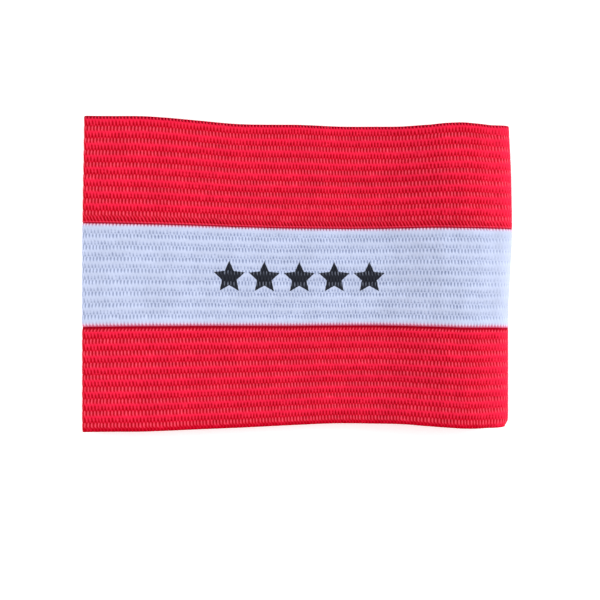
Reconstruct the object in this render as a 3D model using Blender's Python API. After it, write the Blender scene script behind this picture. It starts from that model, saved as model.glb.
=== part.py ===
"""A captain armband: one closed loop of ribbed knitted elastic, lying folded flat on its side.

Three stripes of knit run round the loop beside each other, red, white and red. The two ends of
the elastic meet in the sharp crease at -X, and the round fold is at +X. The front panel lies on
top, with a crest beside the fold and a sag in the middle. The back panel rests on the surface.

+X runs along the folded band, +Y across its stripes and +Z up, in metres. The origin is under
the middle of the whole part, on the surface that it rests on.
"""

import math
from bisect import bisect_right
from collections import namedtuple

import bpy
import numpy as np

# Sizes of the folded band
LAID_LENGTH = 0.1075
UPPER_WIDTH = 0.0257
WHITE_WIDTH = 0.0242
LOWER_WIDTH = 0.0248
WALL = 0.0015
HOLLOW_HEIGHT = 0.011
STRIPE_GAP = 0.0003

# Sizes of the crease at -X and of the fold at +X
CREASE_INNER_RADIUS = 0.00035
CREASE_RISE = 0.0015
CREASE_RUN = 0.013
CREASE_SLANT = 0.0005
FOLD_INNER_RADIUS = 0.0021
FOLD_RISE = 0.003
FOLD_RUN = 0.021
FOLD_BOW = 0.001
END_LINE_REACH = 0.027

# Sizes of the knit
STRIPE_DRIFT = 0.0006
RIBS_PER_STRIPE = 9
RIB_CREST_SHARE = 0.56
RIB_DEPTH = 0.00035
SELVEDGE_ROUND = 0.0004

# How finely the loop is divided
CREASE_STEPS = 3
FOLD_STEPS = 4
FRONT_STEPS = 22
BACK_FLAT_STEPS = 4
BACK_RISE_STEPS = 2
INNER_STEPS = 4

# Cross-sections of the front panel, from the crease to the fold. along is a share of LAID_LENGTH,
# hollow the clear height under the panel as a share of HOLLOW_HEIGHT, drift the white stripe's
# middle as a share of STRIPE_DRIFT, and upper, white and lower the stretch of each stripe. The
# hollow of the first and last row comes from the inner radii of the crease and the fold.
Section = namedtuple("Section", "along hollow drift upper white lower")
SECTIONS = (
    Section(along=0.00, hollow=None, drift=1.00, upper=1.050, white=1.080, lower=1.075),
    Section(along=0.07, hollow=0.39, drift=0.90, upper=1.051, white=1.062, lower=1.073),
    Section(along=0.14, hollow=0.53, drift=0.80, upper=1.051, white=1.048, lower=1.070),
    Section(along=0.20, hollow=0.54, drift=0.68, upper=1.042, white=1.040, lower=1.062),
    Section(along=0.27, hollow=0.50, drift=0.55, upper=1.026, white=1.030, lower=1.052),
    Section(along=0.38, hollow=0.44, drift=0.25, upper=1.010, white=1.016, lower=1.035),
    Section(along=0.50, hollow=0.40, drift=0.00, upper=1.008, white=1.005, lower=1.016),
    Section(along=0.61, hollow=0.39, drift=0.00, upper=1.000, white=1.000, lower=1.000),
    Section(along=0.69, hollow=0.45, drift=0.00, upper=0.996, white=0.999, lower=1.000),
    Section(along=0.75, hollow=0.62, drift=-0.05, upper=0.992, white=1.000, lower=1.000),
    Section(along=0.80, hollow=0.82, drift=-0.12, upper=0.990, white=1.001, lower=1.000),
    Section(along=0.85, hollow=0.97, drift=-0.30, upper=0.998, white=1.002, lower=1.004),
    Section(along=0.88, hollow=0.96, drift=-0.45, upper=1.005, white=1.004, lower=1.008),
    Section(along=0.92, hollow=0.82, drift=-0.50, upper=1.003, white=1.006, lower=1.010),
    Section(along=0.96, hollow=0.55, drift=-0.52, upper=0.998, white=1.007, lower=1.008),
    Section(along=1.00, hollow=None, drift=-0.65, upper=1.000, white=1.014, lower=0.992),
)

# The lines of the crease and the fold seen from above. across runs from the lower selvedge at -1
# to the upper one at 1, crease is a push to -X as a share of CREASE_SLANT, and fold a push to +X
# as a share of FOLD_BOW. The fold's lower corner is rounded off.
EndLine = namedtuple("EndLine", "across crease fold")
END_LINES = (
    EndLine(across=-1.00, crease=1.0, fold=-0.9),
    EndLine(across=-0.95, crease=1.0, fold=-0.1),
    EndLine(across=-0.30, crease=1.0, fold=0.0),
    EndLine(across=0.00, crease=1.0, fold=0.5),
    EndLine(across=0.30, crease=0.9, fold=1.0),
    EndLine(across=0.65, crease=0.5, fold=0.8),
    EndLine(across=1.00, crease=0.0, fold=0.2),
)

SHARP_ANGLE = math.radians(50)
KNIT_ROUGHNESS = 0.85
RED = (0.76, 0.02, 0.05, 1.0)
WHITE = (0.66, 0.71, 0.88, 1.0)

CREASE_RADIUS = WALL + CREASE_INNER_RADIUS
FOLD_RADIUS = WALL + FOLD_INNER_RADIUS
BAND_WIDTH = UPPER_WIDTH + WHITE_WIDTH + LOWER_WIDTH


def clear_the_scene():
    for old in list(bpy.data.objects):
        bpy.data.objects.remove(old, do_unlink=True)


def smooth(rows, at):
    """A smooth curve through rows of (place, value), read at one place. It never overshoots them."""
    places = [row[0] for row in rows]
    values = [row[1] for row in rows]
    rises = np.diff(values) / np.diff(places)
    slopes = [rises[0]]
    for before, after in zip(rises, rises[1:]):
        same_way = before * after > 0
        slopes.append(2 * before * after / (before + after) if same_way else 0.0)
    slopes.append(rises[-1])
    at = min(max(at, places[0]), places[-1])
    k = min(bisect_right(places, at), len(places) - 1) - 1
    span = places[k + 1] - places[k]
    t = (at - places[k]) / span
    start = (2 * t**3 - 3 * t**2 + 1) * values[k] + (t**3 - 2 * t**2 + t) * span * slopes[k]
    end = (3 * t**2 - 2 * t**3) * values[k + 1] + (t**3 - t**2) * span * slopes[k + 1]
    return start + end


def hollow_at(along):
    """The clear height between the panels, in metres."""
    rows = [(0.0, 2 * CREASE_INNER_RADIUS)]
    rows += [(row.along, row.hollow * HOLLOW_HEIGHT) for row in SECTIONS[1:-1]]
    rows += [(1.0, 2 * FOLD_INNER_RADIUS)]
    return smooth(rows, along)


def back_height(x):
    """How far the back panel's outer side is off the surface, x metres from the crease."""
    near_crease = max(0.0, 1 - x / CREASE_RUN)
    near_fold = max(0.0, 1 - (LAID_LENGTH - x) / FOLD_RUN)
    return CREASE_RISE * near_crease**2 + FOLD_RISE * near_fold**2


def front_height(x):
    return back_height(x) + 2 * WALL + hollow_at(x / LAID_LENGTH)


def tip_share(x):
    """The loop's height near its ends, as a share: a quarter circle at the crease and at the fold."""
    from_crease = min(1.0, x / CREASE_RADIUS)
    from_fold = min(1.0, (LAID_LENGTH - x) / FOLD_RADIUS)
    return math.sqrt(1 - (1 - from_crease) ** 2) * math.sqrt(1 - (1 - from_fold) ** 2)


def outer_point(x, on_front):
    """(x, z) of the loop's outer line on one panel."""
    tip_height = CREASE_RISE + CREASE_RADIUS
    if x > LAID_LENGTH / 2:
        tip_height = FOLD_RISE + FOLD_RADIUS
    height = front_height(x) if on_front else back_height(x)
    return x, tip_height + (height - tip_height) * tip_share(x)


def quarter(radius, steps):
    """Distances from an end of the loop, at equal angles round its quarter circle."""
    return [radius * (1 - math.cos(math.pi / 2 * k / steps)) for k in range(1, steps + 1)]


def front_places():
    """Distances from the crease of the front panel's stations, between the two ends."""
    start = CREASE_RADIUS
    end = LAID_LENGTH - FOLD_RADIUS
    return [start + (end - start) * k / FRONT_STEPS for k in range(1, FRONT_STEPS)]


def back_places():
    """Distances from the crease of the back panel's stations, between the two ends."""
    rises = [(k + 1) / (BACK_RISE_STEPS + 1) for k in range(BACK_RISE_STEPS)]
    flat_start = CREASE_RUN
    flat_end = LAID_LENGTH - FOLD_RUN
    places = [CREASE_RUN * share for share in rises]
    for k in range(BACK_FLAT_STEPS + 1):
        places.append(flat_start + (flat_end - flat_start) * k / BACK_FLAT_STEPS)
    places += [flat_end + FOLD_RUN * share for share in rises]
    return [x for x in places if CREASE_RADIUS < x < LAID_LENGTH - FOLD_RADIUS]


def loop_line():
    """The outer line's points round the loop: along the front to the fold, and back underneath."""
    crease = quarter(CREASE_RADIUS, CREASE_STEPS)
    fold = [LAID_LENGTH - d for d in quarter(FOLD_RADIUS, FOLD_STEPS)]
    front = [0.0] + crease + front_places() + fold[::-1] + [LAID_LENGTH]
    back = fold + back_places()[::-1] + crease[::-1]
    line = [outer_point(x, on_front=True) for x in front]
    return line + [outer_point(x, on_front=False) for x in back]


def outward_directions(line):
    """The outward normal at each point of the closed line, with the nearer neighbour counting more."""
    directions = []
    for k, here in enumerate(line):
        before = np.subtract(here, line[k - 1])
        after = np.subtract(line[(k + 1) % len(line)], here)
        a = np.linalg.norm(before)
        b = np.linalg.norm(after)
        along = before / a * b + after / b * a
        along /= np.linalg.norm(along)
        directions.append((-along[1], along[0]))
    return directions


def wall_profile():
    """(share across the stripe, depth under the rib crests) round the section of its wall."""
    rib = 1 / RIBS_PER_STRIPE
    profile = [(0.0, SELVEDGE_ROUND)]
    for k in range(RIBS_PER_STRIPE):
        middle = (k + 0.5) * rib
        profile.append((middle - RIB_CREST_SHARE * rib / 2, 0.0))
        profile.append((middle + RIB_CREST_SHARE * rib / 2, 0.0))
        if k < RIBS_PER_STRIPE - 1:
            profile.append(((k + 1) * rib, RIB_DEPTH))
    profile.append((1.0, SELVEDGE_ROUND))
    profile += [(1 - k / INNER_STEPS, WALL) for k in range(INNER_STEPS + 1)]
    return profile


def stripe_edges(x):
    """The four lines between and beside the stripes, from the lower selvedge to the upper one."""
    along = x / LAID_LENGTH
    middle = STRIPE_DRIFT * smooth([(row.along, row.drift) for row in SECTIONS], along)
    white = WHITE_WIDTH * smooth([(row.along, row.white) for row in SECTIONS], along)
    upper = UPPER_WIDTH * smooth([(row.along, row.upper) for row in SECTIONS], along)
    lower = LOWER_WIDTH * smooth([(row.along, row.lower) for row in SECTIONS], along)
    low_border = middle - white / 2
    high_border = middle + white / 2
    return low_border - lower, low_border, high_border, high_border + upper


def end_line_push(x, y):
    """How far a point moves along X for the slant of the crease and the bow of the fold."""
    across = y / (BAND_WIDTH / 2)
    near_crease = max(0.0, 1 - x / END_LINE_REACH)
    near_fold = max(0.0, 1 - (LAID_LENGTH - x) / END_LINE_REACH)
    crease = smooth([(row.across, row.crease) for row in END_LINES], across)
    fold = smooth([(row.across, row.fold) for row in END_LINES], across)
    return FOLD_BOW * fold * near_fold**2 - CREASE_SLANT * crease * near_crease**2


def stripe_points(edge_index):
    """Every point of one stripe's closed wall, station by station round the loop."""
    line = loop_line()
    profile = wall_profile()
    low_gap = STRIPE_GAP / 2 if edge_index > 0 else 0.0
    high_gap = STRIPE_GAP / 2 if edge_index < 2 else 0.0
    points = []
    for (x, z), (out_x, out_z) in zip(line, outward_directions(line)):
        edges = stripe_edges(x)
        low = edges[edge_index] + low_gap
        high = edges[edge_index + 1] - high_gap
        for share, depth in profile:
            y = low + share * (high - low)
            push = end_line_push(x, y)
            points.append((x - depth * out_x + push, y, z - depth * out_z))
    return np.array(points)


def knit_material(name, colour):
    material = bpy.data.materials.new(name)
    material.use_nodes = True
    shader = material.node_tree.nodes["Principled BSDF"]
    shader.inputs["Base Color"].default_value = colour
    shader.inputs["Roughness"].default_value = KNIT_ROUGHNESS
    shader.inputs["Metallic"].default_value = 0.0
    return material


def make_stripe(name, points, material, collection):
    """One stripe: a torus whose rings are laid round the loop and whose sections are its wall."""
    bpy.ops.mesh.primitive_torus_add(
        major_segments=len(loop_line()), minor_segments=len(wall_profile())
    )
    stripe = bpy.context.active_object
    stripe.name = name
    stripe.data.name = name
    stripe.data.vertices.foreach_set("co", points.astype(np.float32).ravel())
    stripe.data.update()
    stripe.data.shade_smooth()
    stripe.data.set_sharp_from_angle(angle=SHARP_ANGLE)
    stripe.data.materials.append(material)
    for other in list(stripe.users_collection):
        other.objects.unlink(stripe)
    collection.objects.link(stripe)
    return stripe


def build_armband():
    clear_the_scene()
    collection = bpy.data.collections.new("captain_armband")
    bpy.context.scene.collection.children.link(collection)
    red = knit_material("red_knit", RED)
    white = knit_material("white_knit", WHITE)
    stripes = {"lower_red_stripe": red, "white_stripe": white, "upper_red_stripe": red}
    walls = [stripe_points(edge_index) for edge_index in range(len(stripes))]
    every_point = np.concatenate(walls)
    centre = (every_point.min(axis=0) + every_point.max(axis=0)) / 2
    centre[2] = 0.0
    for (name, material), points in zip(stripes.items(), walls):
        make_stripe(name, points - centre, material, collection)


build_armband()
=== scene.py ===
"""The looks of a captain armband: ribbed knitted elastic in red, white and red, laid flat on its side.

Each stripe is one closed knitted mesh that stands for its plain wall in the model. Its points lie on
a lattice: columns follow the stitches round the loop, four to a stitch, and rows follow the knit
across the stripe. Between two ribs lie two rows of small slots, half a stitch apart, with loops and
long floats of yarn between them. The shade in the slots, grooves, selvedges and crease, and the
highlights on the loops and at the fold, are painted into the yarn's colour. A row of stars is
printed in black on the front.

Sizes are in metres. +X runs along the folded band, +Y across its stripes and +Z up.
"""

import logging
import math
from collections.abc import Sequence
from dataclasses import dataclass, field
from enum import Enum
from typing import NamedTuple

import bmesh
import bpy
import numpy as np
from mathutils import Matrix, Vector


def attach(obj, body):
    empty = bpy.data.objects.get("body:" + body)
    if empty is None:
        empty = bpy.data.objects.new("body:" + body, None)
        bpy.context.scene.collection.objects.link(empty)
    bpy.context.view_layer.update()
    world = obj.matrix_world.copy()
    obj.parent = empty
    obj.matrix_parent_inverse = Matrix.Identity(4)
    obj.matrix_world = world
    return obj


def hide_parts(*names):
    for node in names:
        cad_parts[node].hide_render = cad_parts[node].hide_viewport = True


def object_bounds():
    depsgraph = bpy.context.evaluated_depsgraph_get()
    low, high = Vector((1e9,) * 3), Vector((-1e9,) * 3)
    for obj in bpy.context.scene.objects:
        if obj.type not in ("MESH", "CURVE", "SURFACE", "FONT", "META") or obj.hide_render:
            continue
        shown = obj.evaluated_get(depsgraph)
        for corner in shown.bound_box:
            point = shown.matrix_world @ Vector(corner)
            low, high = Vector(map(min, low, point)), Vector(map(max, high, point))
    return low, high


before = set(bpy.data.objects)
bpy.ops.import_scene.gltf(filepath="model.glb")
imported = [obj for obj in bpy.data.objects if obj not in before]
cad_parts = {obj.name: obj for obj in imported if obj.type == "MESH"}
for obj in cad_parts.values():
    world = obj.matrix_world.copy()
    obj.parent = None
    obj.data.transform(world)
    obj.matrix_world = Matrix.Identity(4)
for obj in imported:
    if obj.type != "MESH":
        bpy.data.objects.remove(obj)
CAD_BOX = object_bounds()

MM = 0.001
BODY = "root"
TABLE_TOP = "table_top"

Colour = tuple[float, float, float, float]

NOISE_MIDDLE = 0.5

logger = logging.getLogger("captain_armband")


class Section(NamedTuple):
    """One cross-section of the front panel.

    along is a share of the laid length, hollow the clear height under the panel as a share of the
    highest one, drift the white stripe's middle as a share of its greatest drift, and upper, white
    and lower the stretch of each stripe. pitch is the length of a stitch as a share of the plain one.
    """

    along: float
    hollow: float | None
    drift: float
    upper: float
    white: float
    lower: float
    pitch: float


SECTIONS = (
    Section(0.00, None, 1.00, 1.059, 1.080, 1.081, 1.10),
    Section(0.07, 0.39, 0.90, 1.051, 1.062, 1.073, 1.10),
    Section(0.14, 0.53, 0.80, 1.051, 1.048, 1.070, 1.09),
    Section(0.20, 0.54, 0.68, 1.042, 1.040, 1.062, 1.05),
    Section(0.27, 0.50, 0.55, 1.026, 1.030, 1.052, 1.03),
    Section(0.38, 0.44, 0.25, 1.005, 1.016, 1.035, 1.00),
    Section(0.50, 0.40, 0.00, 1.014, 1.005, 1.011, 0.97),
    Section(0.61, 0.39, 0.00, 1.000, 0.997, 0.998, 0.95),
    Section(0.69, 0.45, 0.02, 0.996, 0.995, 1.000, 0.97),
    Section(0.75, 0.62, -0.04, 0.988, 0.997, 0.996, 1.00),
    Section(0.80, 0.82, -0.12, 0.990, 1.001, 1.000, 1.03),
    Section(0.85, 0.97, -0.30, 1.003, 1.002, 1.003, 1.00),
    Section(0.88, 0.96, -0.45, 1.009, 1.004, 1.006, 0.98),
    Section(0.92, 0.82, -0.50, 1.003, 1.006, 1.010, 0.98),
    Section(0.96, 0.55, -0.52, 0.998, 1.007, 1.010, 0.98),
    Section(1.00, None, -0.65, 1.003, 1.014, 1.000, 0.98),
)


class EndLine(NamedTuple):
    """The lines of the crease and the fold at one place across the band, seen from above.

    across runs from -1 at the lower selvedge to 1 at the upper one. crease is a push to -X as a
    share of the crease's slant, and fold a push to +X as a share of the fold's bow.
    """

    across: float
    crease: float
    fold: float


END_LINES = (
    EndLine(-1.00, 1.0, -0.80),
    EndLine(-0.985, 1.0, -0.40),
    EndLine(-0.965, 1.0, -0.10),
    EndLine(-0.94, 1.0, -0.01),
    EndLine(-0.30, 1.0, 0.0),
    EndLine(0.00, 1.0, 0.5),
    EndLine(0.30, 0.9, 1.0),
    EndLine(0.65, 0.5, 0.8),
    EndLine(1.00, 0.0, 0.2),
)


class KnitRow(NamedTuple):
    """One row of mesh points round the loop, at one place across a stripe.

    reach is its distance in rib pitches, from the crossing between two slot rows in a rib's table
    and from the stripe's edge in an edge's table. slot and strand are depths under the rib's crest,
    as shares of the slot depth. gap and thin are how much painted shade darkens the yarn at a slot
    and on a strand, lift how much painted highlight lies on the strand, 2 or more for a painted pink
    highlight on the white's loops, and stain and wash how far the finish's painted deep shade shows
    at a slot and on a strand. lean is how far the row is shifted, in stitches, and half is 1 where
    its slots lie half a stitch on.
    """

    reach: float
    slot: float
    strand: float
    gap: float = 0.0
    strand_shade: float = 0.0
    lift: float = 0.0
    deep_shade: float = 0.0
    strand_deep_shade: float = 0.0
    lean: float = 0.0
    half: int = 0


# Rows of a rib: real relief, with painted shade in the slots and painted highlights on the loops and
# floats.
RIB_ROWS = (
    KnitRow(-0.46, 0.14, 0.02, gap=0.24, lift=0.12),
    KnitRow(-0.32, 0.60, 0.08, gap=0.66, lift=0.30),
    KnitRow(-0.18, 0.95, 0.18, gap=0.86, lift=0.42),
    KnitRow(-0.07, 1.00, 0.34, gap=1.00, strand_shade=0.12, lift=0.24),
    KnitRow(0.00, 0.62, 0.56, gap=0.50, strand_shade=0.42),
    KnitRow(0.08, 1.00, 0.20, gap=1.20, lift=1.00, lean=-0.04, half=1),
    KnitRow(0.20, 0.95, -0.04, gap=1.30, lift=1.60, lean=-0.05, half=1),
    KnitRow(0.35, 0.48, -0.05, gap=0.90, lift=1.10, lean=-0.03, half=1),
)

# The inner side's rows carry a little painted shade and painted highlight too.
LINING_GROOVE = KnitRow(0.00, 0.10, 0.00, gap=0.25, strand_shade=0.05, lift=0.10)
LINING_CREST = KnitRow(0.00, 0.25, 0.00, gap=0.25, strand_shade=0.05, lift=0.10)


class Edge(Enum):
    """How the knit ends at one edge of a stripe, as rows that are counted from that edge."""

    # The rows hold painted shade in the grooves between the stripes and at the selvedges, and painted
    # highlights on the loops beside them.
    UPPER_SELVEDGE = (
        KnitRow(0.00, 1.20, 0.80, gap=0.80, strand_shade=0.10, deep_shade=0.50, lean=-0.1, half=1),
        KnitRow(0.06, 1.15, 0.30, gap=1.20, deep_shade=0.90, lean=-0.1, half=1),
        KnitRow(0.13, 1.10, 0.08, gap=1.20, lift=0.55, deep_shade=0.85, lean=-0.1, half=1),
        KnitRow(0.21, 0.70, 0.00, gap=1.10, lift=0.55, deep_shade=0.25, lean=-0.1, half=1),
        KnitRow(0.32, 0.10, 0.02, gap=0.16, lift=0.20),
    )
    CORD = (
        KnitRow(0.00, 1.50, 1.40, gap=0.60, lift=2.20, deep_shade=0.60, strand_deep_shade=0.72, lean=0.8),
        KnitRow(0.10, 0.95, 0.85, lift=2.60, deep_shade=0.68, strand_deep_shade=0.68, lean=0.8),
        KnitRow(0.17, 0.15, 0.05, lift=1.90, deep_shade=0.10, strand_deep_shade=0.08, lean=0.7),
        KnitRow(0.23, 0.70, 0.26, gap=0.95, strand_shade=0.30, lift=0.24, strand_deep_shade=0.05, lean=0.60),
        KnitRow(0.30, 1.15, 0.20, gap=1.20, strand_shade=0.10, lift=0.36, deep_shade=0.22, lean=0.45),
        KnitRow(0.42, 1.15, 0.10, gap=1.20, lift=0.55, deep_shade=0.10, lean=0.25),
        KnitRow(0.56, 0.80, 0.05, gap=1.00, lift=0.36, lean=0.10),
    )
    SHARP_TEETH = (
        KnitRow(0.00, 1.50, 1.20, deep_shade=1.00, strand_deep_shade=0.95, lean=-0.1, half=1),
        KnitRow(0.06, 1.40, 0.10, deep_shade=0.95, strand_deep_shade=0.10, lift=4.80, lean=-0.1, half=1),
        KnitRow(0.13, 1.10, -0.12, gap=0.20, deep_shade=0.55, lift=5.00, lean=-0.1, half=1),
        KnitRow(0.21, 0.50, -0.08, gap=0.45, deep_shade=0.22, strand_deep_shade=0.03, lift=2.00, lean=-0.1, half=1),
        KnitRow(0.32, 0.10, 0.00, gap=0.35, strand_shade=0.25, deep_shade=0.05, strand_deep_shade=0.02, lean=-0.1, half=1),
    )
    SOFT_TEETH = (
        KnitRow(0.00, 1.20, 1.00, deep_shade=1.00, strand_deep_shade=1.00, lean=-0.1),
        KnitRow(0.08, 1.20, 0.50, deep_shade=1.00, strand_deep_shade=0.70, lift=2.40, lean=-0.1),
        KnitRow(0.15, 1.05, 0.05, gap=0.10, deep_shade=0.90, strand_deep_shade=0.14, lift=4.60, lean=-0.1),
        KnitRow(0.23, 0.70, -0.10, gap=0.30, deep_shade=0.60, strand_deep_shade=0.04, lift=4.60, lean=-0.1),
        KnitRow(0.33, 0.45, -0.05, gap=0.55, strand_shade=0.10, deep_shade=0.18, strand_deep_shade=0.03, lift=1.20, lean=-0.1),
        KnitRow(0.52, 0.14, 0.00, gap=0.30, strand_shade=0.15, lift=0.30, lean=-0.1),
    )
    YARN = (
        KnitRow(0.00, 1.30, 1.15, gap=1.00, strand_shade=1.00, deep_shade=0.55, strand_deep_shade=0.58, lean=0.3, half=1),
        KnitRow(0.12, 1.25, 1.00, gap=1.10, strand_shade=1.00, deep_shade=0.55, strand_deep_shade=0.42, lean=0.3, half=1),
        KnitRow(0.20, 1.20, 0.50, gap=1.20, strand_shade=0.60, lift=0.36, deep_shade=0.38, lean=0.24, half=1),
        KnitRow(0.28, 0.95, 0.00, gap=1.20, lift=1.30, deep_shade=0.08, lean=0.15, half=1),
        KnitRow(0.38, 0.50, -0.04, gap=0.95, lift=1.10, lean=0.05, half=1),
        KnitRow(0.47, 0.10, 0.00, gap=0.22, lift=0.24),
    )
    LOWER_SELVEDGE = (
        KnitRow(0.00, 1.60, 1.00, gap=1.00, strand_shade=0.50, deep_shade=0.60, strand_deep_shade=0.15, lean=0.2),
        KnitRow(0.06, 1.35, 0.75, gap=0.95, strand_shade=0.40, deep_shade=0.15, lean=0.18),
        KnitRow(0.15, 1.05, 0.50, gap=0.90, strand_shade=0.38, lean=0.14),
        KnitRow(0.29, 0.60, 0.30, gap=0.75, strand_shade=0.35, lean=0.10),
    )


class SmoothCurve:
    """A smooth curve through (place, value) pairs that never overshoots them."""

    def __init__(self, places: Sequence[float], values: Sequence[float]) -> None:
        """Keeps the points and works out the curve's slope at each.

        Args:
            places: the points' places, rising.
            values: the points' values.
        """
        self.places = np.array(places)
        self.values = np.array(values)
        rises = np.diff(self.values) / np.diff(self.places)
        before, after = rises[:-1], rises[1:]
        same_way = before * after > 0
        total = np.where(same_way, before + after, 1.0)
        inner = np.where(same_way, 2 * before * after / total, 0.0)
        self.slopes = np.concatenate([rises[:1], inner, rises[-1:]])

    def __call__(self, at: np.ndarray) -> np.ndarray:
        """Reads the curve.

        Args:
            at: places, of any shape. Those outside the points are read at the nearest end.

        Returns:
            The curve's values there, in the same shape.
        """
        at = np.clip(at, self.places[0], self.places[-1])
        k = np.clip(np.searchsorted(self.places, at, side="right") - 1, 0, len(self.places) - 2)
        span = self.places[k + 1] - self.places[k]
        t = (at - self.places[k]) / span
        start = (2 * t**3 - 3 * t**2 + 1) * self.values[k]
        start += (t**3 - 2 * t**2 + t) * span * self.slopes[k]
        end = (3 * t**2 - 2 * t**3) * self.values[k + 1]
        return start + end + (t**3 - t**2) * span * self.slopes[k + 1]


@dataclass
class FoldedLoop:
    """The webbing's loop, folded flat: its outer line seen from the side, and its stripes' edges.

    A power says how square an end's turn is, and a run and a fade how far from an end a change
    reaches and how quickly it comes, in stitches where the crease presses the knit.
    """

    laid_length: float = 0.1075
    widths: tuple[float, float, float] = (0.0248, 0.0242, 0.0257)
    wall: float = 0.0015
    hollow_height: float = 0.011
    crease_inner_radius: float = 0.00035
    crease_rise: float = 0.0015
    crease_run: float = 0.013
    crease_slant: float = 0.0005
    crease_power: float = 3.0
    fold_inner_radius: float = 0.0021
    fold_rise: float = 0.003
    fold_run: float = 0.021
    fold_bow: float = 0.001
    fold_power: float = 2.0
    round_power: float = 2.0
    end_line_reach: float = 0.027
    fold_smooth_run: float = 0.0090
    fold_smooth_fade: float = 0.0080
    crease_press_run: float = 2.6
    crease_press_fade: float = 1.4
    stripe_drift: float = 0.0006
    steepest: float = 1.15
    least_step: float = 1e-9
    plain_stitch: float = 0.00081
    steps: int = 1500
    end_steps: int = 120

    def __post_init__(self) -> None:
        """Works out the curves along the band, the outer line and the band's place in the frame."""
        along, hollow, drift, upper, white, lower, pitch = zip(*SECTIONS)
        hollows = [share * self.hollow_height for share in hollow[1:-1]]
        hollows = [2 * self.crease_inner_radius] + hollows + [2 * self.fold_inner_radius]
        self.hollow = SmoothCurve(along, hollows)
        self.drift = SmoothCurve(along, [share * self.stripe_drift for share in drift])
        self.pitch = SmoothCurve(along, [share * self.plain_stitch for share in pitch])
        self.stretches = [SmoothCurve(along, shares) for shares in (lower, white, upper)]
        across, crease, fold = zip(*END_LINES)
        self.crease_line = SmoothCurve(across, crease)
        self.fold_line = SmoothCurve(across, fold)
        self.crease_radius = self.wall + self.crease_inner_radius
        self.fold_radius = self.wall + self.fold_inner_radius
        edges = self.stripe_edges(np.linspace(0.0, self.laid_length, self.steps))
        self.crease_x = CAD_BOX[0].x + self.crease_slant
        self.middle_y = -(edges[0].min() + edges[3].max()) / 2
        self.draw_outer_line()

    def back_height(self, x: np.ndarray) -> np.ndarray:
        """How far the back panel's outer side is off the surface.

        Args:
            x: distances from the crease.

        Returns:
            The heights there.
        """
        near_crease = np.clip(1 - x / self.crease_run, 0.0, 1.0)
        near_fold = np.clip(1 - (self.laid_length - x) / self.fold_run, 0.0, 1.0)
        return self.crease_rise * near_crease**2 + self.fold_rise * near_fold**2

    def front_height(self, x: np.ndarray) -> np.ndarray:
        """How far the front panel's outer side is off the surface.

        Args:
            x: distances from the crease.

        Returns:
            The heights there, without the rounding at the two ends.
        """
        return self.back_height(x) + 2 * self.wall + self.hollow(x / self.laid_length)

    def tip_share(self, x: np.ndarray, crease_power: float, fold_power: float) -> np.ndarray:
        """The loop's height near its ends, as a share of the height beside them.

        Args:
            x: distances from the crease.
            crease_power: how square the turn at the crease is, round_power for a quarter circle.
            fold_power: the same for the turn at the fold.

        Returns:
            The shares, 0 at both ends and 1 between the turns.
        """
        from_crease = 1 - np.clip(x / self.crease_radius, 0.0, 1.0)
        from_fold = 1 - np.clip((self.laid_length - x) / self.fold_radius, 0.0, 1.0)
        at_crease = (1 - from_crease**crease_power) ** (1 / crease_power)
        return at_crease * (1 - from_fold**fold_power) ** (1 / fold_power)

    def side_line(self, crease_power: float, fold_power: float) -> tuple[np.ndarray, np.ndarray]:
        """The loop's outer line seen from the side, along the front and back underneath.

        Args:
            crease_power: how square the turn at the crease is.
            fold_power: how square the turn at the fold is.

        Returns:
            The line's distances from the crease and its heights, with no point twice.
        """
        turn = 1 - np.cos(np.linspace(0.0, math.pi / 2, self.end_steps, endpoint=False))
        start = self.crease_radius * turn
        end = self.laid_length - self.fold_radius * turn[::-1]
        flat = np.linspace(self.crease_radius, self.laid_length - self.fold_radius, self.steps)
        x = np.concatenate([start, flat, end[1:] if end[0] == flat[-1] else end])
        share = self.tip_share(x, crease_power, fold_power)
        middle = self.laid_length / 2
        tip = np.where(x < middle, self.crease_rise + self.crease_radius, self.fold_rise + self.fold_radius)
        front = tip + (self.front_height(x) - tip) * share
        back = tip + (self.back_height(x) - tip) * share
        line_x = np.concatenate([x, x[-2:0:-1]])
        return line_x, np.concatenate([front, back[-2:0:-1]])

    def draw_outer_line(self) -> None:
        """Measures the outer line in stitches, and finds the way out of the wall all along it."""
        x, z = self.side_line(self.crease_power, self.fold_power)
        soft_x, soft_z = self.side_line(self.round_power, self.round_power)
        along_x = np.roll(soft_x, -1) - np.roll(soft_x, 1)
        along_z = np.roll(soft_z, -1) - np.roll(soft_z, 1)
        length = np.hypot(along_x, along_z)
        out_x, out_z = -along_z / length, along_x / length
        step = np.hypot(np.roll(x, -1) - x, np.roll(z, -1) - z)
        on_front = np.arange(len(x)) <= len(x) // 2
        level_step = np.maximum(np.abs(np.roll(x, -1) - x), self.least_step)
        slope = np.minimum(step / level_step, self.steepest)
        pitch = np.where(on_front, self.pitch(x / self.laid_length) * slope, self.plain_stitch)
        stitches = np.cumsum(step / pitch)
        self.stitch_count = round(float(stitches[-1]))
        self.length = float(step.sum())
        scale = self.stitch_count / stitches[-1]
        self.line_at = np.concatenate([[0.0], stitches * scale])
        self.line = {
            "x": np.append(x, x[0]),
            "z": np.append(z, z[0]),
            "out_x": np.append(out_x, out_x[0]),
            "out_z": np.append(out_z, out_z[0]),
            "run": np.concatenate([[0.0], np.cumsum(step)]),
        }

    def read(self, name: str, stitch: np.ndarray) -> np.ndarray:
        """Reads one value of the outer line.

        Args:
            name: x, z, out_x, out_z, or run for the distance along the line.
            stitch: places round the loop, in stitches from the crease along the front.

        Returns:
            The values there. Places past the last stitch go on from the first.
        """
        return np.interp(stitch % self.stitch_count, self.line_at, self.line[name])

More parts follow.
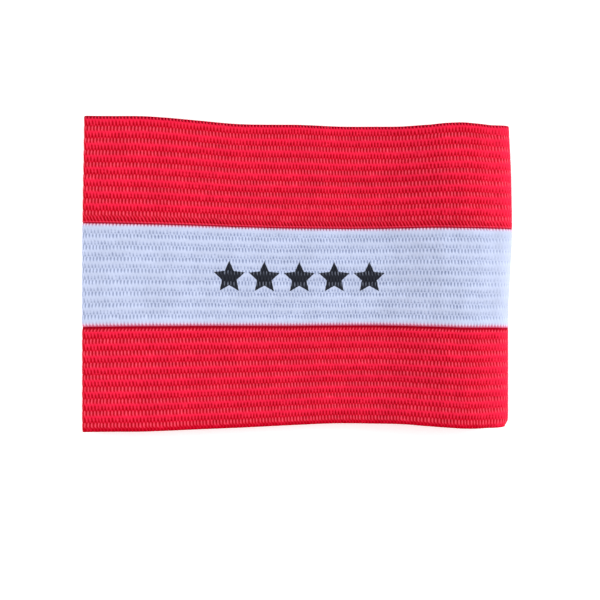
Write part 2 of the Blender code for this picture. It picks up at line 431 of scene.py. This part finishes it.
    def drawn_smooth(self, stitch: np.ndarray) -> np.ndarray:
        """How far the knit is drawn smooth round the fold, which also sets its painted shade and highlight.

        Args:
            stitch: places round the loop, in stitches.

        Returns:
            The shares, 1 at the fold and 0 away from it.
        """
        from_fold = self.laid_length - self.read("x", stitch)
        return np.clip((self.fold_smooth_run - from_fold) / self.fold_smooth_fade, 0.0, 1.0)

    def pressed(self, stitch: np.ndarray) -> np.ndarray:
        """How far the knit is pressed together at the crease, which also sets its painted shade there.

        Args:
            stitch: places round the loop, in stitches.

        Returns:
            The shares, 1 at the crease and 0 away from it.
        """
        from_crease = np.minimum(stitch % self.stitch_count, -stitch % self.stitch_count)
        return np.clip((self.crease_press_run - from_crease) / self.crease_press_fade, 0.0, 1.0)

    def stripe_edges(self, x: np.ndarray) -> list[np.ndarray]:
        """The four lines between and beside the stripes, from the lower selvedge to the upper one.

        Args:
            x: distances from the crease.

        Returns:
            Their places across the band, before the band is put in its place in the frame.
        """
        along = x / self.laid_length
        lower, white, upper = (
            width * stretch(along) for width, stretch in zip(self.widths, self.stretches)
        )
        low_border = self.drift(along) - white / 2
        high_border = self.drift(along) + white / 2
        return [low_border - lower, low_border, high_border, high_border + upper]

    def end_line_push(self, x: np.ndarray, y: np.ndarray) -> np.ndarray:
        """How far points move along X for the slant of the crease and the bow of the fold.

        Args:
            x: distances from the crease.
            y: places across the band.

        Returns:
            The moves along X.
        """
        across = y / (sum(self.widths) / 2)
        near_crease = np.clip(1 - x / self.end_line_reach, 0.0, 1.0)
        near_fold = np.clip(1 - (self.laid_length - x) / self.end_line_reach, 0.0, 1.0)
        fold = self.fold_bow * self.fold_line(across) * near_fold**2
        return fold - self.crease_slant * self.crease_line(across) * near_crease**2

    def points(
        self, stripe: int, stitch: np.ndarray, share: np.ndarray, depth: np.ndarray
    ) -> np.ndarray:
        """Places points on or in the wall of one stripe.

        Args:
            stripe: 0 for the lower stripe, 1 for the white one and 2 for the upper one.
            stitch: places round the loop, in stitches.
            share: places across the stripe, 0 at its lower edge and 1 at its upper one.
            depth: depths under the crests of the ribs.

        Returns:
            The points in the frame, with X, Y and Z on the last axis.
        """
        x = self.read("x", stitch)
        edges = self.stripe_edges(x)
        y = edges[stripe] + share * (edges[stripe + 1] - edges[stripe])
        placed_x = x - depth * self.read("out_x", stitch) + self.end_line_push(x, y)
        placed_z = self.read("z", stitch) - depth * self.read("out_z", stitch)
        return np.stack([placed_x + self.crease_x, y + self.middle_y, placed_z], axis=-1)


@dataclass
class LatticeRow:
    """One row of a stripe's lattice: its place across the stripe and the knit there."""

    share: float
    knit: KnitRow
    depth: float = 0.0
    lining: float = 0.0


@dataclass
class KnitStripe:
    """One stripe of ribbed knit, a closed wall all round the loop.

    first_pair and last_pair are places of slot rows, as shares of the width from the upper edge. bow
    is how many stitches each pair is shifted along the loop, and grow_up and grow_down are how far
    the knit passes its edges. What starts with fold or crease says how the knit changes there, and
    how the painted shade and highlight change there: the slots' painted shade is weaker at the fold,
    where a painted highlight is added, and a painted shade darkens the crease. A jitter is how much
    one stitch differs from the next, and a range is the ends of a value.
    """

    name: str
    node: str
    slot_name: str
    place: int
    upper_edge: Edge
    lower_edge: Edge
    first_pair: float
    last_pair: float
    loop: FoldedLoop
    seed: int
    bow: tuple[float, ...]
    grow_up: float = 0.0
    grow_down: float = 0.0
    slot_depth: float = 0.00042
    lining_relief: float = 0.00012
    lining_rows: int = 12
    border_clearance: float = 0.00001
    columns_per_stitch: int = 4
    strand_share: tuple[float, ...] = (0.0, 0.43, 1.0, 0.43)
    # At the fold: less painted slot shade, flatter and more level relief, and a painted highlight.
    fold_calm: float = 0.50
    fold_flatness: float = 0.55
    fold_levelling: float = 0.70
    fold_painted_highlight: float = 0.08
    # At the crease: painted shade and flatter relief.
    crease_painted_shade: float = 0.50
    crease_flatness: float = 0.60
    phase_jitter: float = 0.05
    drift_jitter: float = 0.10
    drift_waves: tuple[int, int] = (3, 7)
    last_pair_margin: float = 0.001
    depth_jitter: float = 0.20
    gap_jitter: float = 0.22
    jitter_range: tuple[float, float] = (0.4, 1.5)
    highlight_jitter: float = 0.6
    highlight_range: tuple[float, float] = (0.5, 1.3)
    lining_print_offset: float = 1.0
    weld: float = 0.000001
    object: bpy.types.Object | None = field(default=None, init=False)

    @property
    def width(self) -> float:
        """The stripe's plain width."""
        return self.loop.widths[self.place]

    @property
    def pairs(self) -> int:
        """How many pairs of slot rows the stripe has."""
        return len(self.bow)

    @property
    def pitch(self) -> float:
        """The distance between two pairs of slot rows, as a share of the stripe's width."""
        return (self.last_pair - self.first_pair) / (self.pairs - 1)

    def outer_rows(self) -> list[LatticeRow]:
        """The rows of the outer side, from the upper edge to the lower one.

        Returns:
            The rows.
        """
        rows = []
        for knit in self.upper_edge.value:
            rows.append(LatticeRow(1 + self.grow_up / self.width - knit.reach * self.pitch, knit))
        for pair in range(self.pairs):
            middle = self.first_pair + pair * self.pitch
            for knit in RIB_ROWS:
                rows.append(LatticeRow(1 - (middle + knit.reach * self.pitch), knit))
        for knit in reversed(self.lower_edge.value):
            rows.append(LatticeRow(knit.reach * self.pitch - self.grow_down / self.width, knit))
        return rows

    def lining_side_rows(self) -> list[LatticeRow]:
        """The rows of the inner side, from the lower edge to the upper one.

        Returns:
            The rows, a crest and a groove for each rib.
        """
        rows = []
        lowest = -self.grow_down / self.width
        highest = 1 + self.grow_up / self.width
        for k in range(self.lining_rows + 1):
            crest = k % 2 == 1
            knit = LINING_CREST if crest else LINING_GROOVE
            depth = self.loop.wall if crest else self.loop.wall - self.lining_relief
            share = lowest + (highest - lowest) * k / self.lining_rows
            rows.append(LatticeRow(share, knit, depth, 1.0))
        return rows

    def spread(self, values: np.ndarray) -> np.ndarray:
        """Spreads values over the mesh columns, smoothly and round the loop.

        Args:
            values: one value for each stitch.

        Returns:
            One value for each column.
        """
        count = self.loop.stitch_count
        at = np.arange(count * self.columns_per_stitch) / self.columns_per_stitch
        return np.interp(at, np.arange(count + 1), np.append(values, values[0]))

    def pair_drifts(self, draw: np.random.Generator) -> np.ndarray:
        """Works out how far each pair of slot rows strays along the loop.

        Args:
            draw: where the random numbers come from.

        Returns:
            The drifts in stitches, with a row for each pair and a column for each mesh column.
        """
        count = self.loop.stitch_count
        drifts = []
        for lean in self.bow:
            phase, turns = draw.uniform(0, 2 * math.pi), draw.integers(*self.drift_waves)
            wave = np.sin(2 * math.pi * turns * np.arange(count) / count + phase)
            stray = self.drift_jitter * wave + draw.normal(0.0, self.phase_jitter, count)
            drifts.append(lean + self.spread(stray))
        return np.array(drifts)

    def row_values(
        self, row: LatticeRow, drift: np.ndarray, deep: np.ndarray, shade: np.ndarray
    ) -> dict[str, np.ndarray]:
        """Works out one row of the lattice.

        Args:
            row: the row.
            drift: how far each column strays along the loop, in stitches.
            deep: how deep the slot at each column is, about 1.
            shade: how strong its painted shade is, about 1.

        Returns:
            Its line in each of the lattice's arrays.
        """
        knit = row.knit
        columns = np.arange(self.loop.stitch_count * self.columns_per_stitch)
        turned = columns + self.columns_per_stitch // 2 * knit.half
        strand = np.array(self.strand_share)[turned % self.columns_per_stitch]
        stitch = columns / self.columns_per_stitch + knit.lean + drift
        smooth = self.loop.drawn_smooth(stitch)
        pressed = self.loop.pressed(stitch)
        slot = (1 - strand) * np.clip(deep, *self.jitter_range)
        level = knit.strand * (1 - self.fold_levelling * smooth**2)
        relief = self.slot_depth * (level + (knit.slot - knit.strand) * slot)
        flat = (1 - self.fold_flatness * smooth**2) * (1 - self.crease_flatness * pressed)
        sign = -1.0 if row.lining else 1.0
        # Painted shade: in the slots and on the strands, weaker where the fold draws the knit smooth, and
        # more at the crease.
        dark = knit.strand_shade * strand + knit.gap * (1 - strand) * np.clip(shade, *self.jitter_range)
        dark = dark * (1 - self.fold_calm * smooth) + self.crease_painted_shade * pressed
        # Painted highlight on the strands.
        lift = knit.lift * strand**2 * np.clip(1 + self.highlight_jitter * (1 - shade), *self.highlight_range)
        return {
            "stitch": stitch,
            "share": np.full(len(columns), row.share),
            "depth": row.depth + sign * relief * flat,
            "gap": np.clip(dark, 0.0, 1.0),
            # A painted highlight is added at the fold.
            "lift": np.maximum(lift, self.fold_painted_highlight * smooth),
            # Painted deep shade at the edge rows' slots and strands.
            "deep_shade": knit.strand_deep_shade * strand + knit.deep_shade * (1 - strand),
            "lining": np.full(len(columns), row.lining),
        }

    def lattice(self) -> dict[str, np.ndarray]:
        """Works out every value of the lattice, row by row.

        Returns:
            Arrays with a row for each lattice row and a column for each mesh column: the places
            round the loop and across the stripe, the depths, and the values that the finish reads.
        """
        draw = np.random.default_rng(self.seed)
        drifts = self.pair_drifts(draw)
        count = self.loop.stitch_count
        furthest = self.pairs - 1 - self.last_pair_margin
        lines = []
        for row in self.outer_rows() + self.lining_side_rows():
            deep = self.spread(1 + draw.normal(0.0, self.depth_jitter, count))
            shade = self.spread(1 + draw.normal(0.0, self.gap_jitter, count))
            pair = np.clip((1 - row.share - self.first_pair) / self.pitch, 0.0, furthest)
            past = pair - int(pair)
            drift = (1 - past) * drifts[int(pair)] + past * drifts[int(pair) + 1]
            lines.append(self.row_values(row, drift, deep, shade))
        return {key: np.array([line[key] for line in lines]) for key in lines[0]}

    def plain_grid(
        self, row_count: int, column_count: int
    ) -> tuple[bpy.types.Mesh, np.ndarray, np.ndarray]:
        """Lays out a flat grid with a face for each place in the lattice.

        Args:
            row_count: how many rows the lattice has.
            column_count: how many columns it has.

        Returns:
            The mesh, and the row and the column of each of its points.
        """
        grid = bmesh.new()
        bmesh.ops.create_grid(grid, x_segments=column_count, y_segments=row_count, size=1.0)
        mesh = bpy.data.meshes.new(self.name)
        grid.to_mesh(mesh)
        grid.free()
        flat = np.empty(len(mesh.vertices) * 3, np.float32)
        mesh.vertices.foreach_get("co", flat)
        flat = flat.reshape(-1, 3)
        column = np.rint((flat[:, 0] + 1) / 2 * column_count).astype(int)
        row = np.rint((flat[:, 1] + 1) / 2 * row_count).astype(int)
        return mesh, row, column

    def close_round(self, mesh: bpy.types.Mesh) -> None:
        """Welds the grid's opposite edges to each other and turns its faces outward.

        Args:
            mesh: the grid, with its points in place.
        """
        knit = bmesh.new()
        knit.from_mesh(mesh)
        bmesh.ops.remove_doubles(knit, verts=knit.verts[:], dist=self.weld)
        bmesh.ops.recalc_face_normals(knit, faces=knit.faces[:])
        knit.to_mesh(mesh)
        knit.free()
        mesh.shade_smooth()

    def build(self, material: bpy.types.Material) -> None:
        """Builds the stripe's mesh: a grid laid over the lattice and closed both ways round.

        Args:
            material: the stripe's finish.
        """
        lattice = self.lattice()
        row_count, column_count = lattice["stitch"].shape
        mesh, row, column = self.plain_grid(row_count, column_count)
        here = (row % row_count, column % column_count)

        lowest = (self.border_clearance - self.grow_down) / self.width
        highest = 1 + (self.grow_up - self.border_clearance) / self.width
        share = np.clip(lattice["share"][here], lowest, highest)
        stitch = lattice["stitch"][here]
        points = self.loop.points(self.place, stitch, share, lattice["depth"][here])
        mesh.vertices.foreach_set("co", points.astype(np.float32).ravel())

        corner = np.empty(len(mesh.loops), np.int32)
        mesh.loops.foreach_get("vertex_index", corner)
        whole_turn = self.loop.stitch_count * (column // column_count)
        lining_rows = row_count * (row // row_count)
        knit_uv = np.stack([stitch + whole_turn, (1 - share) / self.pitch + lining_rows], axis=-1)
        self.add_uv_map(mesh, "Knit", knit_uv[corner])
        across = (share - 0.5) * self.width
        across = across + self.lining_print_offset * lattice["lining"][here]
        print_uv = np.stack([self.loop.read("run", stitch), across], axis=-1)
        self.add_uv_map(mesh, "Print", print_uv[corner])
        # The painted shade and painted highlight reach the finish as point attributes.
        for name in ("gap", "lift", "deep_shade", "lining"):
            layer = mesh.attributes.new(name, "FLOAT", "POINT")
            layer.data.foreach_set("value", lattice[name][here].astype(np.float32))

        self.close_round(mesh)
        mesh.materials.append(material)
        self.object = bpy.data.objects.new(self.name, mesh)
        bpy.context.scene.collection.objects.link(self.object)

    @staticmethod
    def add_uv_map(mesh: bpy.types.Mesh, name: str, corners: np.ndarray) -> None:
        """Adds a UV map to a mesh.

        Args:
            mesh: the mesh.
            name: the map's name.
            corners: U and V at each face corner.
        """
        layer = mesh.uv_layers.new(name=name, do_init=False)
        layer.uv.foreach_set("vector", corners.astype(np.float32).ravel())

    def declare(self) -> None:
        """Hangs the stripe on the body and hides the model part that it stands for."""
        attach(self.object, BODY)
        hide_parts(self.node)

    def report(self) -> None:
        """Logs the stripe's name and how many faces it has."""
        logger.info("%s: %d faces", self.name, len(self.object.data.polygons))


class NodeBench:
    """A material's node tree, with short ways to add the nodes that the finishes use.

    A Mix node has sockets for each kind of value, and MIX_INPUTS and MIX_RESULT are its colour ones.
    """

    MIX_INPUTS = (0, 6, 7)
    MIX_RESULT = 2

    def __init__(self, name: str) -> None:
        """Makes a material with one Principled shader.

        Args:
            name: the material's name.
        """
        self.material = bpy.data.materials.new(name)
        self.material.use_nodes = True
        self.tree = self.material.node_tree
        self.shader = self.tree.nodes["Principled BSDF"]

    def put(self, socket: bpy.types.NodeSocket, value: object) -> None:
        """Sets or links one input.

        Args:
            socket: the input.
            value: a number, a colour, or the output to link.
        """
        if isinstance(value, bpy.types.NodeSocket):
            self.tree.links.new(value, socket)
        else:
            socket.default_value = value

    def attribute(self, name: str) -> bpy.types.NodeSocket:
        """Reads a value that the mesh holds at its points.

        Args:
            name: the attribute's name.

        Returns:
            Its value.
        """
        node = self.tree.nodes.new("ShaderNodeAttribute")
        node.attribute_name = name
        return node.outputs["Fac"]

    def uv_map(self, name: str) -> bpy.types.NodeSocket:
        """Reads a UV map.

        Args:
            name: the map's name.

        Returns:
            Its U and V, as a vector.
        """
        node = self.tree.nodes.new("ShaderNodeUVMap")
        node.uv_map = name
        return node.outputs["UV"]

    def math(
        self, operation: str, a: object, b: object = 0.0, c: object = 0.0
    ) -> bpy.types.NodeSocket:
        """Adds a Math node.

        Args:
            operation: the node's operation.
            a: the first value, a number or an output.
            b: the second value.
            c: the third value.

        Returns:
            The result.
        """
        node = self.tree.nodes.new("ShaderNodeMath")
        node.operation = operation
        for socket, value in zip(node.inputs, (a, b, c)):
            self.put(socket, value)
        return node.outputs["Value"]

    def between(
        self, value: object, low: float, high: float, a: float = 0.0, b: float = 1.0
    ) -> bpy.types.NodeSocket:
        """Turns a range of one value into another range, smoothly and with ends that hold.

        Args:
            value: the value.
            low: where the range starts.
            high: where it ends.
            a: the result at the start.
            b: the result at the end.

        Returns:
            The result.
        """
        node = self.tree.nodes.new("ShaderNodeMapRange")
        node.interpolation_type = "SMOOTHSTEP"
        ends = {"From Min": low, "From Max": high, "To Min": a, "To Max": b}
        for key, number in {"Value": value, **ends}.items():
            self.put(node.inputs[key], number)
        return node.outputs["Result"]

    def mix(self, share: object, a: object, b: object, blend: str = "MIX") -> bpy.types.NodeSocket:
        """Mixes two colours.

        Args:
            share: how much of the second colour.
            a: the first colour. A single value stands for a grey.
            b: the second colour.
            blend: the way of mixing.

        Returns:
            The mixed colour.
        """
        node = self.tree.nodes.new("ShaderNodeMix")
        node.data_type = "RGBA"
        node.blend_type = blend
        for socket, value in zip(self.MIX_INPUTS, (share, a, b)):
            self.put(node.inputs[socket], value)
        return node.outputs[self.MIX_RESULT]

    def noise(
        self, vector: object, stretch: tuple[float, float, float], detail: float = 2.0
    ) -> bpy.types.NodeSocket:
        """Adds noise that is stretched along the axes of a vector.

        Args:
            vector: the place, as an output.
            stretch: the noise's scale along each axis.
            detail: how fine its smallest part is.

        Returns:
            The noise, about 0 to 1.
        """
        mapping = self.tree.nodes.new("ShaderNodeMapping")
        mapping.inputs["Scale"].default_value = stretch
        self.put(mapping.inputs["Vector"], vector)
        node = self.tree.nodes.new("ShaderNodeTexNoise")
        node.inputs["Scale"].default_value = 1.0
        node.inputs["Detail"].default_value = detail
        self.put(node.inputs["Vector"], mapping.outputs["Vector"])
        return node.outputs["Fac"]

    def bump(self, height: object, strength: float, distance: float) -> bpy.types.NodeSocket:
        """Adds a Bump node.

        Args:
            height: the height, 0 to 1.
            strength: the bump's strength.
            distance: its full height.

        Returns:
            The bumped normal.
        """
        node = self.tree.nodes.new("ShaderNodeBump")
        node.inputs["Strength"].default_value = strength
        node.inputs["Distance"].default_value = distance
        self.put(node.inputs["Height"], height)
        return node.outputs["Normal"]

    def separate(self, vector: object) -> tuple[bpy.types.NodeSocket, bpy.types.NodeSocket]:
        """Splits a vector.

        Args:
            vector: the vector, as an output.

        Returns:
            Its X and Y.
        """
        node = self.tree.nodes.new("ShaderNodeSeparateXYZ")
        self.put(node.inputs["Vector"], vector)
        return node.outputs["X"], node.outputs["Y"]


@dataclass(frozen=True)
class PrintedStars:
    """A row of plain five-pointed stars, screen-printed in black ink."""

    count: int = 5
    tips: int = 5
    spacing: float = 0.0088
    tip_radius: float = 0.0041
    inner_share: float = 0.48
    centre_run: float = 0.0568
    centre_across: float = -0.0004
    ragged: float = 0.00022
    feather: float = 0.00007
    ragged_stretch: tuple[float, float, float] = (2.6, 5.0, 1.0)
    ink: Colour = (0.009, 0.010, 0.015, 1.0)
    most_cover: float = 0.98
    least_cover: float = 0.68
    lighter_ink_range: tuple[float, float] = (0.35, 0.65)

    def coverage(self, bench: NodeBench) -> bpy.types.NodeSocket:
        """Works out where the ink lies.

        Args:
            bench: the node tree to add to.

        Returns:
            The share of ink, 0 to 1.
        """
        run, across = bench.separate(bench.uv_map("Print"))
        x = bench.math("SUBTRACT", run, self.centre_run)
        y = bench.math("SUBTRACT", across, self.centre_across)
        furthest = (self.count - 1) / 2
        turn = bench.math("ROUND", bench.math("DIVIDE", x, self.spacing))
        turn = bench.math("MAXIMUM", bench.math("MINIMUM", turn, furthest), -furthest)
        x = bench.math("SUBTRACT", x, bench.math("MULTIPLY", turn, self.spacing))
        squares = bench.math("MULTIPLY_ADD", x, x, bench.math("MULTIPLY", y, y))
        radius = bench.math("SQRT", squares)
        half_tip = math.pi / self.tips
        angle = bench.math("PINGPONG", bench.math("ARCTAN2", x, y), half_tip)
        to_tip = bench.math("MULTIPLY", radius, bench.math("COSINE", angle))
        aside = bench.math("MULTIPLY", radius, bench.math("SINE", angle))
        inner = self.tip_radius * self.inner_share
        side = Vector((inner * math.sin(half_tip), self.tip_radius - inner * math.cos(half_tip)))
        side.normalize()
        out = bench.math("MULTIPLY", bench.math("SUBTRACT", to_tip, self.tip_radius), side.x)
        out = bench.math("ADD", out, bench.math("MULTIPLY", aside, side.y))
        rough = bench.noise(bench.uv_map("Knit"), self.ragged_stretch)
        rough = bench.math("MULTIPLY", bench.math("SUBTRACT", rough, NOISE_MIDDLE), self.ragged)
        out = bench.math("ADD", out, rough)
        return bench.between(out, -self.feather, self.feather, 1.0, 0.0)


@dataclass(frozen=True)
class YarnFinish:
    """Knitted polyester yarn: painted shade between its strands, painted highlights on its raised loops.

    A stretch is the scale of noise along the stitches and across the ribs. A range is where a smooth
    step starts and ends, and shades are the values at its two ends.
    """

    name: str
    yarn: Colour
    # Painted shade: the colour at the slots between the strands.
    slot: Colour
    # Painted highlight: the colour on the raised loops.
    bright: Colour
    # Painted deep shade in the grooves and at the selvedges, pink-red in the white.
    deep: Colour
    lining: Colour
    # A painted pink highlight on the white's loops beside the red.
    bead_highlight: Colour | None = None
    stars: PrintedStars | None = None
    roughness: float = 0.62
    slot_roughness: float = 0.25
    specular: float = 0.02
    dark_range: tuple[float, float] = (0.12, 0.70)
    bead_range: tuple[float, float] = (1.7, 2.8)
    filament_stretch: tuple[float, float, float] = (9.0, 1.6, 1.0)
    filament_detail: float = 3.0
    filament_range: tuple[float, float] = (0.30, 0.70)
    filament_shades: tuple[float, float] = (0.35, 1.0)
    fray: float = 0.30
    cloud_stretch: tuple[float, float, float] = (0.11, 0.55, 1.0)
    cloud_range: tuple[float, float] = (0.25, 0.75)
    cloud_shades: tuple[float, float] = (0.94, 1.04)
    lining_share: float = 0.8
    lining_contrast: float = 0.55
    lining_depth: float = 2.0
    lining_loops: int = 3
    lining_range: tuple[float, float] = (0.05, 0.90)
    bump_strength: float = 0.35
    bump_height: float = 0.00012

    def material(self) -> bpy.types.Material:
        """Builds the finish's material.

        Returns:
            The material.
        """
        bench = NodeBench(self.name)
        place = bench.uv_map("Knit")
        filaments = bench.noise(place, self.filament_stretch, self.filament_detail)
        clouds = bench.noise(place, self.cloud_stretch)
        gap = bench.attribute("gap")
        lift = bench.attribute("lift")
        frayed = bench.math("SUBTRACT", filaments, NOISE_MIDDLE)
        ragged = bench.math("MULTIPLY_ADD", frayed, self.fray, gap)
        dark = bench.between(ragged, *self.dark_range)
        # Painted shade in the slots.
        colour = bench.mix(dark, self.yarn, self.slot)
        bright = bench.between(filaments, *self.filament_range, *self.filament_shades)
        # Painted highlight on the raised loops, broken up along the filaments.
        colour = bench.mix(bench.math("MULTIPLY", lift, bright), colour, self.bright)
        if self.bead_highlight:
            # Painted pink highlight on the white's loops beside the red.
            colour = bench.mix(bench.between(lift, *self.bead_range), colour, self.bead_highlight)
        shade = bench.between(clouds, *self.cloud_range, *self.cloud_shades)
        colour = bench.mix(1.0, colour, shade, "MULTIPLY")
        # Painted deep shade in the grooves and at the selvedges.
        colour = bench.mix(bench.attribute("deep_shade"), colour, self.deep)
        lining = bench.attribute("lining")
        loops = bench.math("MULTIPLY", lining, self.plain_loops(bench, place))
        colour = bench.mix(bench.math("MULTIPLY", lining, self.lining_share), colour, self.lining)
        # Painted shade in the gaps between the inner side's plain loops; their relief is a bump.
        colour = bench.mix(bench.math("MULTIPLY", loops, self.lining_contrast), colour, self.slot)
        if self.stars:
            ink = self.stars.coverage(bench)
            # The ink is lighter where the painted loop highlight lies on the strands.
            lighter_ink = bench.math("MULTIPLY", lift, bench.between(filaments, *self.stars.lighter_ink_range))
            cover = bench.between(lighter_ink, 0.0, 1.0, self.stars.most_cover, self.stars.least_cover)
            colour = bench.mix(bench.math("MULTIPLY", ink, cover), colour, self.stars.ink)
        roughness = bench.math("MULTIPLY_ADD", dark, self.slot_roughness, self.roughness)
        height = bench.math("MULTIPLY_ADD", loops, -self.lining_depth, filaments)
        normal = bench.bump(height, self.bump_strength, self.bump_height)
        bench.put(bench.shader.inputs["Base Color"], colour)
        bench.put(bench.shader.inputs["Roughness"], roughness)
        bench.put(bench.shader.inputs["Normal"], normal)
        bench.shader.inputs["Specular IOR Level"].default_value = self.specular
        return bench.material

    def plain_loops(self, bench: NodeBench, place: bpy.types.NodeSocket) -> bpy.types.NodeSocket:
        """Draws the small gaps between the plain loops on the webbing's inner side.

        Args:
            bench: the node tree to add to.
            place: the place on the knit, in stitches and ribs.

        Returns:
            The gaps, 1 in the middle of each and 0 between them, half a stitch on from row to row.
        """
        stitch, rib = bench.separate(place)
        along = bench.math("SINE", bench.math("MULTIPLY", stitch, 2 * math.pi))
        across = bench.math("SINE", bench.math("MULTIPLY", rib, 2 * math.pi * self.lining_loops))
        return bench.between(bench.math("MULTIPLY", along, across), *self.lining_range)


RED_YARN = YarnFinish(
    name="red_knit",
    yarn=(0.94, 0.0125, 0.058, 1.0),
    slot=(0.54, 0.0, 0.009, 1.0),
    bright=(1.0, 0.096, 0.160, 1.0),
    deep=(0.21, 0.0, 0.014, 1.0),
    lining=(0.75, 0.018, 0.050, 1.0),
)

WHITE_YARN = YarnFinish(
    name="white_knit",
    yarn=(0.575, 0.638, 0.845, 1.0),
    slot=(0.325, 0.38, 0.57, 1.0),
    bright=(0.68, 0.76, 1.0, 1.0),
    deep=(0.72, 0.09, 0.20, 1.0),
    bead_highlight=(1.0, 0.76, 0.97, 1.0),
    lining=(0.62, 0.66, 0.82, 1.0),
    dark_range=(0.30, 1.05),
    stars=PrintedStars(),
)


@dataclass
class Studio:
    """A plain pale table top, soft lamps and the camera straight above."""

    table_size: float = 12.0
    table_colour: Colour = (0.93, 0.93, 0.93, 1.0)
    table_roughness: float = 0.9
    table_specular: float = 0.1
    table_glow: float = 0.42
    sky_colour: Colour = (1.0, 1.0, 1.0, 1.0)
    sky_strength: float = 0.71
    key_place: tuple[float, float, float] = (0.50, 0.12, 0.40)
    key_size: float = 0.35
    key_power: float = 2.0
    fill_place: tuple[float, float, float] = (-0.24, 0.0, 0.15)
    fill_size: float = 0.12
    fill_power: float = 0.20
    camera_place: tuple[float, float, float] = (0.00103, -0.00671, 0.290)
    lens: float = 67.39
    sensor: float = 36.0

    def lay_table(self) -> None:
        """Lays the table top that the armband rests on."""
        top = bmesh.new()
        bmesh.ops.create_grid(top, x_segments=1, y_segments=1, size=self.table_size / 2)
        mesh = bpy.data.meshes.new(TABLE_TOP)
        top.to_mesh(mesh)
        top.free()
        bench = NodeBench("pale_table")
        bench.shader.inputs["Base Color"].default_value = self.table_colour
        bench.shader.inputs["Roughness"].default_value = self.table_roughness
        bench.shader.inputs["Specular IOR Level"].default_value = self.table_specular
        bench.shader.inputs["Emission Color"].default_value = self.table_colour
        bench.shader.inputs["Emission Strength"].default_value = self.table_glow
        mesh.materials.append(bench.material)
        table = bpy.data.objects.new(TABLE_TOP, mesh)
        bpy.context.scene.collection.objects.link(table)

    def light(self) -> None:
        """Hangs a soft lamp at the right and a weak one at the left, under a pale sky."""
        self.hang_lamp("key_lamp", self.key_place, self.key_size, self.key_power)
        self.hang_lamp("fill_lamp", self.fill_place, self.fill_size, self.fill_power)
        world = bpy.data.worlds.new("pale_sky")
        world.use_nodes = True
        sky = world.node_tree.nodes["Background"]
        sky.inputs["Color"].default_value = self.sky_colour
        sky.inputs["Strength"].default_value = self.sky_strength
        bpy.context.scene.world = world

    @staticmethod
    def hang_lamp(name: str, place: tuple[float, float, float], size: float, power: float) -> None:
        """Hangs one soft square lamp that faces the armband.

        Args:
            name: the lamp's name.
            place: where it hangs.
            size: the length of its sides.
            power: its power in watts.
        """
        lamp = bpy.data.lights.new(name, "AREA")
        lamp.shape = "SQUARE"
        lamp.size = size
        lamp.energy = power
        hung = bpy.data.objects.new(name, lamp)
        hung.location = place
        hung.rotation_euler = (-Vector(place)).to_track_quat("-Z", "Y").to_euler()
        hung.visible_camera = False
        bpy.context.scene.collection.objects.link(hung)

    def place_camera(self) -> None:
        """Places the camera straight above, with +Y up in the picture."""
        lens = bpy.data.cameras.new("camera")
        lens.sensor_width = self.sensor
        lens.lens = self.lens
        camera = bpy.data.objects.new("camera", lens)
        camera.location = self.camera_place
        bpy.context.scene.collection.objects.link(camera)
        bpy.context.scene.camera = camera

    def build(self) -> None:
        """Sets up the table, the lamps and the camera, with colours shown as they are."""
        self.lay_table()
        self.light()
        self.place_camera()
        bpy.context.scene.view_settings.view_transform = "Standard"


def armband_stripes(loop: FoldedLoop) -> list[tuple[KnitStripe, YarnFinish]]:
    """Lists the armband's stripes.

    Args:
        loop: the folded loop that they run round.

    Returns:
        Each stripe with its finish.
    """
    lower = KnitStripe(
        name="lower_red_knit",
        node="lower_red_stripe",
        slot_name="red_knit",
        place=0,
        upper_edge=Edge.YARN,
        lower_edge=Edge.LOWER_SELVEDGE,
        first_pair=0.121,
        last_pair=0.917,
        loop=loop,
        seed=11,
        bow=(0.0, 0.03, 0.07, 0.10, 0.19, 0.24, 0.24, 0.20),
        grow_up=-0.00024,
        grow_down=0.00021,
    )
    white = KnitStripe(
        name="white_knit_stripe",
        node="white_stripe",
        slot_name="white_knit",
        place=1,
        upper_edge=Edge.SHARP_TEETH,
        lower_edge=Edge.SOFT_TEETH,
        first_pair=0.099,
        last_pair=0.891,
        loop=loop,
        seed=12,
        bow=(0.0, 0.16, 0.20, 0.22, 0.20, 0.02, -0.03, -0.12),
        grow_up=-0.00001,
        grow_down=0.00030,
    )
    upper = KnitStripe(
        name="upper_red_knit",
        node="upper_red_stripe",
        slot_name="red_knit",
        place=2,
        upper_edge=Edge.UPPER_SELVEDGE,
        lower_edge=Edge.CORD,
        first_pair=0.089,
        last_pair=0.879,
        loop=loop,
        seed=13,
        bow=(0.0, -0.12, -0.25, -0.35, -0.42, -0.47, -0.43, -0.42),
        grow_up=0.00005,
        grow_down=0.00012,
    )
    return [(lower, RED_YARN), (white, WHITE_YARN), (upper, RED_YARN)]


def main() -> None:
    """Builds the armband and the studio, and reports each piece."""
    logging.basicConfig(level=logging.INFO, format="%(name)s %(message)s")
    materials = {finish.name: finish.material() for finish in (RED_YARN, WHITE_YARN)}
    loop = FoldedLoop()
    logger.info("loop: %.1f mm round, %d stitches", loop.length / MM, loop.stitch_count)
    for stripe, finish in armband_stripes(loop):
        stripe.build(materials[finish.name])
        stripe.declare()
        stripe.report()
    Studio().build()


if __name__ == "__main__":
    main()
